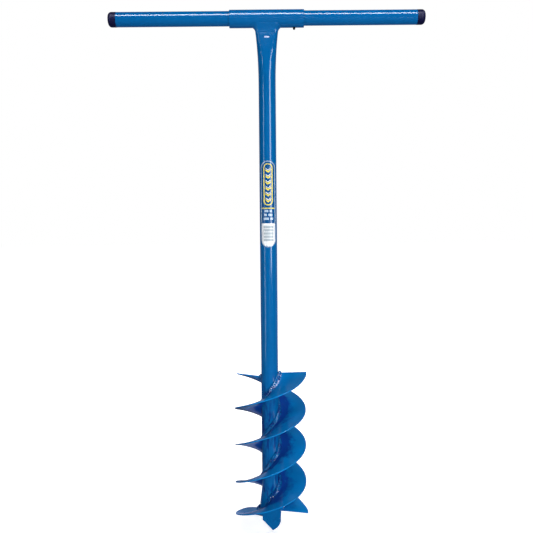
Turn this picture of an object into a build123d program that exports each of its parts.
"""Two-start hand soil auger with a sliding tee handle. Millimetres, +Z up the stem."""
import os
from math import cos, pi, sin

from build123d import *

os.makedirs("parts", exist_ok=True)

# --- overall layout -----------------------------------------------------------
overall_height = 1070.0        # tip of the digging point to the top of the tee sleeve
sleeve_od = 36.0
sleeve_wall = 2.0
sleeve_length = 152.0
sleeve_height = overall_height - sleeve_od / 2

# --- stem tube ----------------------------------------------------------------
stem_od = 35.0
stem_wall = 2.0
stem_radius = stem_od / 2
stem_girth = pi * stem_od      # pressing the tube flat keeps this length
press_top_start = 915.0        # the tube starts to spread here, below the sleeve
press_top_end = 1023.0
press_top_spread = 11.0        # extra width gained under the sleeve
press_stations = 7
round_flat_angle = 0.5         # degrees, half the arc that becomes a flat
stamp_height = 1013.2          # shallow press-stop mark on the flattened front
stamp_length = 12.0
stamp_width = 4.0
stamp_face = 8.45              # how far in front of the axis its floor lies

# --- digging point ------------------------------------------------------------
point_press_start = 94.0       # the tube starts to close here, above the point
point_press_end = 18.0
point_flat = 4.6               # two tube walls pressed together
point_tip_x = 3.8
point_left_x = -17.4
point_left_z = 22.5
point_right_x = 20.5
point_right_z = 19.0

# --- flights ------------------------------------------------------------------
flight_radius = 73.2
rim_run_out = 0.7              # the rim runs this far off the stem's centre, toward +X
flight_rim_plate = 2.3         # upright thickness of the plate at its rim
flight_root_plate = 3.0        # and at the stem, where the plate is steeper
flight_lead = 147.5
flight_root = 4.0              # blanks are built in to here, then cut to the stem
climb = flight_lead / (2 * pi)  # rise per radian
station_step = 0.26            # radians between the plate's sections
start_a = -4.3
finish_a = 9.06
start_b = 0.04
finish_b = 4 * pi
height_a = 178.8               # height of start A where its angle is pi
height_b = 101.2               # height of start B where its angle is pi
joint_a = 2.1                  # where each start is butt welded from two blanks
joint_b = 7.36
nose_lift_a = 9.0              # start A flattens out as it nears the point
nose_span_a = 1.0
settle_lift_a = 4.2
settle_from_a = -2.6
settle_span_a = 2.6
tail_lift_a = 2.2
tail_span_a = 0.8
nose_lift_b = 5.0
nose_span_b = 2.8
step_lift_b = 5.0
step_from_b = 3.3
step_span_b = 3.0
root_rise_b = 7.5              # start B's leading edge is higher at the stem
root_drop_a = 2.5              # elsewhere the plate is a little lower at the stem
root_drop_b = 1.5
root_turn_a = 2.0              # angles over which the root eases down
root_turn_b = 6.0
nose_flare_a = 2.0             # rim of the flattened nose stands out this far
nose_end_a = -3.6
lead_flare = 3.6               # so does start B's cutting corner
tail_flare = 1.6
flare_span = 0.6               # radians of rim taken up by a flare

# --- welds --------------------------------------------------------------------
butt_bead_radius = 2.3
root_leg = 5.0
root_leg_up = 7.5
tee_bead = 7.0
tee_bead_height = 22.0

# --- handle -------------------------------------------------------------------
bar_od = 30.0
bar_wall = 2.0
bar_length = 612.0
bar_lift = 0.7                 # the set screw holds the bar up against the sleeve
bar_height = sleeve_height + bar_lift
cap_head = 16.5
cap_radius = 15.15
cap_corner = 7.0
cap_core_radius = 11.0
cap_rib_radius = 12.9
cap_core_length = 22.0

# --- set screw ----------------------------------------------------------------
screw_x = 56.0
screw_radius = 2.5
screw_length = 8.0
screw_fit = 0.05
screw_socket = 2.5             # across flats
screw_top = bar_height - bar_od / 2 - 0.1

# --- label --------------------------------------------------------------------
label_width = 30.6
label_bottom = 585.6
label_top = 762.5
label_film = 0.25
label_corner = 15.0


def save(part, name):
    part.label = name
    export_step(part, f"parts/{name}.step")


def pressed_depth(width, girth):
    """Depth of a flattened tube whose outline keeps its girth."""
    return (girth - 2 * width) / (pi - 2)


def pressed_width(depth, girth):
    return (girth - (pi - 2) * depth) / 2


def tee_stations(inset):
    """Widths and depths of the tube as it spreads toward the sleeve."""
    rows = []
    for step in range(press_stations + 1):
        share = step / press_stations
        height = press_top_start + share * (press_top_end - press_top_start)
        width = stem_od + press_top_spread * share ** 2.2
        depth = pressed_depth(width, stem_girth)
        rows.append((height, width - 2 * inset, depth - 2 * inset))
    return rows


def point_stations(inset, lowest):
    """Widths and depths of the tube as it closes toward the point."""
    rows = []
    for step in range(press_stations + 1):
        share = step / press_stations
        height = point_press_start + share * (lowest - point_press_start)
        closing = (point_press_start - height) / (point_press_start - point_press_end)
        depth = stem_od + (point_flat - stem_od) * closing
        width = pressed_width(depth, stem_girth)
        rows.append((height, width - 2 * inset, depth - 2 * inset))
    return rows


def pressed_outline(width, depth):
    """Two half rounds joined by two flats; a round tube gets two short arcs as its flats."""
    radius = depth / 2
    shift = (width - depth) / 2
    if shift < 0.001:
        gap = round_flat_angle
        shift = 0.0
    else:
        gap = 0.0
    with BuildLine() as outline:
        CenterArc((shift, 0), radius, gap - 90, 180 - 2 * gap)
        if gap:
            CenterArc((0, 0), radius, 90 - gap, 2 * gap)
        else:
            Line((shift, radius), (-shift, radius))
        CenterArc((-shift, 0), radius, 90 + gap, 180 - 2 * gap)
        if gap:
            CenterArc((0, 0), radius, 270 - gap, 2 * gap)
        else:
            Line((-shift, -radius), (shift, -radius))
    make_face(outline.edges())


def pressed_loft(stations):
    with BuildPart() as body:
        for height, width, depth in stations:
            with BuildSketch(Plane.XY.offset(height)):
                pressed_outline(width, depth)
        loft()
    return body.part


def tube_body(inset, lowest, highest):
    """The stem's outline, inset by a wall; straight in the middle, pressed at both ends."""
    top = tee_stations(inset)
    with BuildPart() as body:
        with BuildSketch(Plane.XY.offset(point_press_start)):
            pressed_outline(stem_od - 2 * inset, stem_od - 2 * inset)
        extrude(amount=press_top_start - point_press_start)
        add(pressed_loft(top))
        add(pressed_loft(point_stations(inset, lowest)))
        with BuildSketch(Plane.XY.offset(press_top_end)):
            pressed_outline(top[-1][1], top[-1][2])
        extrude(amount=highest - press_top_end)
    return body.part


def sleeve_cylinder(radius, length):
    with BuildPart() as body:
        with BuildSketch(Plane.YZ):
            with Locations((0, sleeve_height)):
                Circle(radius)
        extrude(amount=length / 2, both=True)
    return body.part


def point_outline():
    """Side cuts and spear of the digging point, as a thick slab."""
    with BuildPart() as body:
        with BuildSketch(Plane.XZ):
            with BuildLine():
                Polyline(
                    (point_tip_x, 0),
                    (point_left_x, point_left_z),
                    (point_left_x, 30),
                    (-22.4, 56),
                    (-40, 70),
                    (-40, 1100),
                    (40, 1100),
                    (40, 60),
                    (22.0, 52),
                    (point_right_x, 26),
                    (point_right_x, point_right_z),
                )
                ThreePointArc((point_right_x, point_right_z), (15.6, 8.4), (point_tip_x, 0))
            make_face()
        extrude(amount=40, both=True)
    return body.part


sleeve_outside = sleeve_cylinder(sleeve_od / 2, 200)
point_cut = point_outline()

with BuildPart() as stem_outside:
    add(tube_body(0, point_press_end, sleeve_height - 8))
    with BuildSketch(Plane.XY):
        pressed_outline(pressed_width(point_flat, stem_girth), point_flat)
    extrude(amount=point_press_end)
    add(point_cut, mode=Mode.INTERSECT)
    add(sleeve_outside, mode=Mode.SUBTRACT)

# --- stem tube: open bore, coped to the sleeve at the top ------------------------
with BuildPart() as stem_tube:
    add(stem_outside.part)
    add(tube_body(stem_wall, 32, sleeve_height), mode=Mode.SUBTRACT)
    with BuildSketch(Plane.XZ.offset(stamp_face)):
        with Locations((0, stamp_height)):
            SlotOverall(stamp_length, stamp_width)
    extrude(amount=10, mode=Mode.SUBTRACT)
save(stem_tube.part, "stem_tube")

# --- tee sleeve, tapped underneath for the set screw ------------------------------
with BuildPart() as tee_sleeve:
    with BuildSketch(Plane.YZ):
        with Locations((0, sleeve_height)):
            Circle(sleeve_od / 2)
            Circle(sleeve_od / 2 - sleeve_wall, mode=Mode.SUBTRACT)
    extrude(amount=sleeve_length / 2, both=True)
    end_rims = tee_sleeve.edges().filter_by(GeomType.CIRCLE)
    chamfer(end_rims, 0.4)
    with BuildSketch(Plane.XY.offset(sleeve_height)):
        with Locations((screw_x, 0)):
            Circle(screw_radius + screw_fit)
    extrude(amount=-30, mode=Mode.SUBTRACT)
save(tee_sleeve.part, "tee_sleeve")


# --- tee weld: a hollow fillet run round the coped end -----------------------------
def tee_weld_body():
    top = tee_stations(0)[-1]
    with BuildPart() as body:
        for step in range(6):
            share = step / 5
            reach = 0.3 + tee_bead * share ** 1.8
            with BuildSketch(Plane.XY.offset(press_top_end + 0.5 + tee_bead_height * share)):
                pressed_outline(top[1] + 2 * reach, top[2] + 2 * reach)
        loft()
    return body.part


with BuildPart() as tee_weld:
    add(tee_weld_body())
    add(sleeve_outside, mode=Mode.SUBTRACT)
    add(stem_outside.part, mode=Mode.SUBTRACT)
save(tee_weld.part, "tee_weld")


# --- flights -----------------------------------------------------------------------
def ease(share):
    """Smooth step from 0 to 1."""
    share = min(max(share, 0), 1)
    return share * share * (3 - 2 * share)


def rim_height_a(angle):
    """Middle of start A's rim: a helix, lifted where the blank was sprung."""
    nose = nose_lift_a * (1 - ease((angle - start_a) / nose_span_a))
    settle = settle_lift_a * (1 - ease((angle - settle_from_a) / settle_span_a))
    tail = tail_lift_a * ease((angle - finish_a + tail_span_a) / tail_span_a)
    return height_a + climb * (angle - pi) + nose + settle + tail


def rim_height_b(angle):
    nose = nose_lift_b * (1 - ease((angle - start_b) / nose_span_b))
    step = step_lift_b * ease((angle - step_from_b) / step_span_b)
    return height_b + climb * (angle - pi) + nose + step


def root_height_a(angle):
    """Middle of the plate where it meets the stem."""
    return rim_height_a(angle) - root_drop_a * ease((angle - start_a) / root_turn_a)


def root_height_b(angle):
    eased = ease((angle - start_b) / root_turn_b)
    return rim_height_b(angle) + root_rise_b - (root_rise_b + root_drop_b) * eased


def rim_radius_a(angle):
    nose = nose_flare_a * (1 - ease((angle - nose_end_a) / flare_span))
    tail = tail_flare * (1 - ease((finish_a - angle) / flare_span))
    return flight_radius + rim_run_out * cos(angle) + nose + tail


def rim_radius_b(angle):
    lead = lead_flare * (1 - ease((angle - start_b) / flare_span))
    tail = tail_flare * (1 - ease((finish_b - angle) / flare_span))
    return flight_radius + rim_run_out * cos(angle) + lead + tail


def radial_plane(angle):
    """Upright plane through the stem axis; local x points out, local y points up."""
    return Plane(
        origin=(0, 0, 0),
        x_dir=(cos(angle), sin(angle), 0),
        z_dir=(sin(angle), -cos(angle), 0),
    )


def stations(start, finish):
    """Evenly spaced angles, both ends included."""
    count = round((finish - start) / station_step)
    return [start + (finish - start) * step / count for step in range(count + 1)]


def plate_section(rim_height, root_height, rim):
    """Radial cut through the plate, carried in past the stem's surface."""
    slope = (rim_height - root_height) / (rim - stem_radius)
    inner_height = rim_height - slope * (rim - flight_root)
    Polygon(
        (flight_root, inner_height - flight_root_plate / 2),
        (rim, rim_height - flight_rim_plate / 2),
        (rim, rim_height + flight_rim_plate / 2),
        (flight_root, inner_height + flight_root_plate / 2),
        align=None,
    )


def flight_blank(rim_height, root_height, rim_radius, start, finish):
    with BuildPart() as blank:
        for angle in stations(start, finish):
            with BuildSketch(radial_plane(angle)):
                plate_section(rim_height(angle), root_height(angle), rim_radius(angle))
        loft()
    return blank.part


def butt_bead(rim_height, root_height, angle):
    """Weld across the plate where two blanks meet."""
    slope = (rim_height(angle) - root_height(angle)) / (flight_radius - stem_radius)
    seat = Plane(
        origin=(0, 0, root_height(angle) - slope * stem_radius),
        x_dir=(-sin(angle), cos(angle), 0),
        z_dir=(cos(angle), sin(angle), slope),
    )
    with BuildPart() as bead:
        with BuildSketch(seat.offset(stem_radius - 3)):
            Circle(butt_bead_radius)
        extrude(amount=flight_radius + 2.4 - stem_radius)
    return bead.part


def cut_flight(blank, bead):
    with BuildPart() as flight:
        add(blank)
        add(stem_outside.part, mode=Mode.SUBTRACT)
        add(bead, mode=Mode.SUBTRACT)
    return flight.part


bead_a = butt_bead(rim_height_a, root_height_a, joint_a)
bead_b = butt_bead(rim_height_b, root_height_b, joint_b)
lower_blank_a = flight_blank(rim_height_a, root_height_a, rim_radius_a, start_a, joint_a)
upper_blank_a = flight_blank(rim_height_a, root_height_a, rim_radius_a, joint_a, finish_a)
lower_blank_b = flight_blank(rim_height_b, root_height_b, rim_radius_b, start_b, joint_b)
upper_blank_b = flight_blank(rim_height_b, root_height_b, rim_radius_b, joint_b, finish_b)

flight_a_lower = cut_flight(lower_blank_a, bead_a)
flight_a_upper = cut_flight(upper_blank_a, bead_a)
flight_b_lower = cut_flight(lower_blank_b, bead_b)
flight_b_upper = cut_flight(upper_blank_b, bead_b)
save(flight_a_lower, "flight_a_lower")
save(flight_a_upper, "flight_a_upper")
save(flight_b_lower, "flight_b_lower")
save(flight_b_upper, "flight_b_upper")

# --- butt welds: each start is made from two blanks ------------------------------
with BuildPart() as butt_weld_a:
    add(bead_a)
    add(stem_outside.part, mode=Mode.SUBTRACT)
save(butt_weld_a.part, "butt_weld_a")

with BuildPart() as butt_weld_b:
    add(bead_b)
    add(stem_outside.part, mode=Mode.SUBTRACT)
save(butt_weld_b.part, "butt_weld_b")


# --- root welds: a fillet bead along the upper side of each blank ------------------
def bead_section(height):
    """Fillet with a slightly hollow face, its corner in the angle of plate and stem."""
    inner = stem_radius - 1.2
    with BuildLine() as outline:
        Line((inner, height), (stem_radius + root_leg, height))
        ThreePointArc(
            (stem_radius + root_leg, height),
            (stem_radius + root_leg * 0.42, height + root_leg_up * 0.46),
            (inner, height + root_leg_up + 1.4),
        )
        Line((inner, height + root_leg_up + 1.4), (inner, height))
    make_face(outline.edges())


def root_weld(root_height, start, finish, flight, bead):
    with BuildPart() as weld:
        for angle in stations(start, finish):
            with BuildSketch(radial_plane(angle)):
                bead_section(root_height(angle) + 0.3)
        loft()
        add(stem_outside.part, mode=Mode.SUBTRACT)
        add(flight, mode=Mode.SUBTRACT)
        add(bead, mode=Mode.SUBTRACT)
    return weld.part


round_start_a = -1.15          # the stem is round above here
round_start_b = 2.9
bead_gap = 0.12                # radians left clear for the butt weld
crown_gap = 0.46               # radians left clear for the crown weld

root_weld_a_lower = root_weld(root_height_a, round_start_a, joint_a - bead_gap, flight_a_lower, bead_a)
root_weld_a_upper = root_weld(
    root_height_a, joint_a + bead_gap, finish_a - crown_gap, flight_a_upper, bead_a
)
root_weld_b_lower = root_weld(root_height_b, round_start_b, joint_b - bead_gap, flight_b_lower, bead_b)
root_weld_b_upper = root_weld(
    root_height_b, joint_b + bead_gap, finish_b - crown_gap, flight_b_upper, bead_b
)
save(root_weld_a_lower, "root_weld_a_lower")
save(root_weld_a_upper, "root_weld_a_upper")
save(root_weld_b_lower, "root_weld_b_lower")
save(root_weld_b_upper, "root_weld_b_upper")


# --- toe and crown welds: heavy lumps where each start begins and ends ---------------
def weld_lump(height, angle, reach, radius, flight):
    """Rounded lump of weld on the stem, on top of the plate at the given angle."""
    with BuildPart() as lump:
        with Locations((reach * cos(angle), reach * sin(angle), height)):
            Sphere(radius)
        with Locations((reach * cos(angle), reach * sin(angle), height + 0.55 * radius)):
            Sphere(0.8 * radius)
        add(stem_outside.part, mode=Mode.SUBTRACT)
        add(flight, mode=Mode.SUBTRACT)
    solids = lump.part.solids().sort_by(SortBy.VOLUME)
    return Part(solids[-1].wrapped)


toe_a = -pi
toe_b = start_b + 0.25
crown_a = finish_a - 0.08
crown_b = finish_b - 0.08
toe_weld_a = weld_lump(root_height_a(toe_a) + 7.5, toe_a, 21.5, 8.5, flight_a_lower)
toe_weld_b = weld_lump(root_height_b(toe_b), toe_b, 22.0, 6.5, flight_b_lower)
crown_weld_a = weld_lump(root_height_a(crown_a), crown_a, 19.0, 5.6, flight_a_upper)
crown_weld_b = weld_lump(root_height_b(crown_b), crown_b, 19.0, 5.6, flight_b_upper)
save(toe_weld_a, "toe_weld_a")
save(toe_weld_b, "toe_weld_b")
save(crown_weld_a, "crown_weld_a")
save(crown_weld_b, "crown_weld_b")

# --- handle bar -----------------------------------------------------------------------
with BuildPart() as handle_bar:
    with BuildSketch(Plane.YZ):
        with Locations((0, bar_height)):
            Circle(bar_od / 2)
            Circle(bar_od / 2 - bar_wall, mode=Mode.SUBTRACT)
    extrude(amount=bar_length / 2, both=True)
    chamfer(handle_bar.edges().filter_by(GeomType.CIRCLE), 0.3)
save(handle_bar.part, "handle_bar")


# --- end caps: domed head outside, ribbed plug inside the bar ----------------------------
def end_cap(side):
    seat = Plane(origin=(side * bar_length / 2, 0, bar_height), z_dir=(side, 0, 0))
    with BuildPart() as cap:
        with BuildSketch(seat):
            Circle(cap_radius)
        extrude(amount=cap_head)
        far_rim = cap.edges().filter_by(GeomType.CIRCLE).sort_by(Axis.X)[-1 if side > 0 else 0]
        fillet(far_rim, cap_corner)
        with BuildSketch(seat):
            Circle(cap_core_radius)
        extrude(amount=-cap_core_length)
        for rib in range(3):
            with BuildSketch(seat.offset(-3.0 - 6.5 * rib)):
                Circle(cap_rib_radius)
            extrude(amount=-2.0)
    return cap.part


end_cap_left = end_cap(-1)
end_cap_right = end_cap(1)
save(end_cap_left, "end_cap_left")
save(end_cap_right, "end_cap_right")

# --- set screw: hexagon socket, dog point against the bar ------------------------------------
with BuildPart() as set_screw:
    with BuildSketch(Plane.XY.offset(screw_top)):
        with Locations((screw_x, 0)):
            Circle(screw_radius)
    extrude(amount=-screw_length)
    chamfer(set_screw.edges().filter_by(GeomType.CIRCLE), 0.4)
    with BuildSketch(Plane.XY.offset(screw_top - screw_length)):
        with Locations((screw_x, 0)):
            RegularPolygon(screw_socket / 2, 6, major_radius=False)
    extrude(amount=3.0, mode=Mode.SUBTRACT)
save(set_screw.part, "set_screw")

# --- label: printed film wrapped on the front of the stem --------------------------------------
with BuildPart() as label:
    with BuildSketch(Plane.XY.offset(label_bottom)):
        Circle(stem_radius + label_film)
        Circle(stem_radius, mode=Mode.SUBTRACT)
    extrude(amount=label_top - label_bottom)
    with BuildSketch(Plane.XZ):
        with Locations((0, (label_bottom + label_top) / 2)):
            RectangleRounded(label_width, label_top - label_bottom, label_corner)
    extrude(amount=40, mode=Mode.INTERSECT)
save(label.part, "label")
